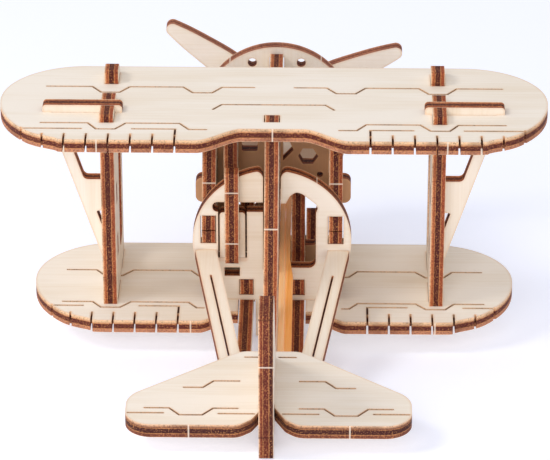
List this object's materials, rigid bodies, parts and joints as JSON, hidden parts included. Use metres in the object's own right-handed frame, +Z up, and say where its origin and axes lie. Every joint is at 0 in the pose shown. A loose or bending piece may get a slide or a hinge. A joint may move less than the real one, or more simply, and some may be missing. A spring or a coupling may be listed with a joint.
{
  "type": "biplane scale model",
  "caption": "Slot-together plywood biplane that stands on its wheels, with a rubber-band propeller and a sprung release lever.",
  "frame": {"origin": "middle of the bottom of the bounding box, on the surface that the wheels and the tail skid stand on", "axes": "+X towards the nose, +Y towards the left wing, +Z up; the model stands nose-up on its wheels and skid"},
  "size_m": [0.2048, 0.1587, 0.0787],
  "materials": {
    "plywood": "matt birch ply with laser-browned edges",
    "dowel": "satin bamboo dowel",
    "band": "translucent amber rubber"
  },
  "bodies": {
    "airframe": {"boom_strip_left": "plywood", "boom_strip_right": "plywood", "cowl": "plywood", "engine_rods": "dowel", "engine_star": "plywood", "fin": "plywood", "firewall": "plywood", "gear_leg_left": "plywood", "gear_leg_right": "plywood", "gusset_left": "plywood", "gusset_right": "plywood", "inner_rail_left": "plywood", "inner_rail_right": "plywood", "keel": "plywood", "lever_post": "plywood", "lower_wing": "plywood", "mid_bulkhead": "plywood", "peg_plate": "plywood", "rear_bulkhead": "plywood", "rubber_band": "band", "side_plate_left": "plywood", "side_plate_right": "plywood", "strut_left": "plywood", "strut_right": "plywood", "tail_bulkhead": "plywood", "tail_peg": "dowel", "tailplane": "plywood", "upper_wing": "plywood"},
    "propeller_group": {"propeller": "plywood", "prop_shaft": "dowel", "prop_spacer": "plywood", "prop_hub": "plywood", "shaft_collar": "plywood", "hook_disc": "plywood", "shaft_hook": "plywood"},
    "wheel_set": {"axle": "dowel", "wheel_cap_left": "plywood", "wheel_cap_right": "plywood", "wheel_left": "plywood", "wheel_right": "plywood"},
    "lever_group": {"release_tongue": "plywood", "release_lever": "plywood"}
  },
  "joints": [
    {"name": "propeller_spin", "type": "hinge", "parent": "airframe", "child": "propeller_group", "pos_m": [0.08119, 0, 0.04456], "axis": [0.9887, 0, 0.1499], "continuous": true, "deforming": ["rubber_band"]},
    {"name": "wheels_spin", "type": "hinge", "parent": "airframe", "child": "wheel_set", "pos_m": [0.05804, 0, 0.0105], "axis": [0, 1, 0], "continuous": true},
    {"name": "release_lever_tilt", "type": "hinge", "parent": "airframe", "child": "lever_group", "pos_m": [-0.00182, 0.0115, 0.02702], "axis": [0, 1, 0], "range_deg": [-8, 0], "stiffness_Nm_per_rad": 0.3}
  ]
}
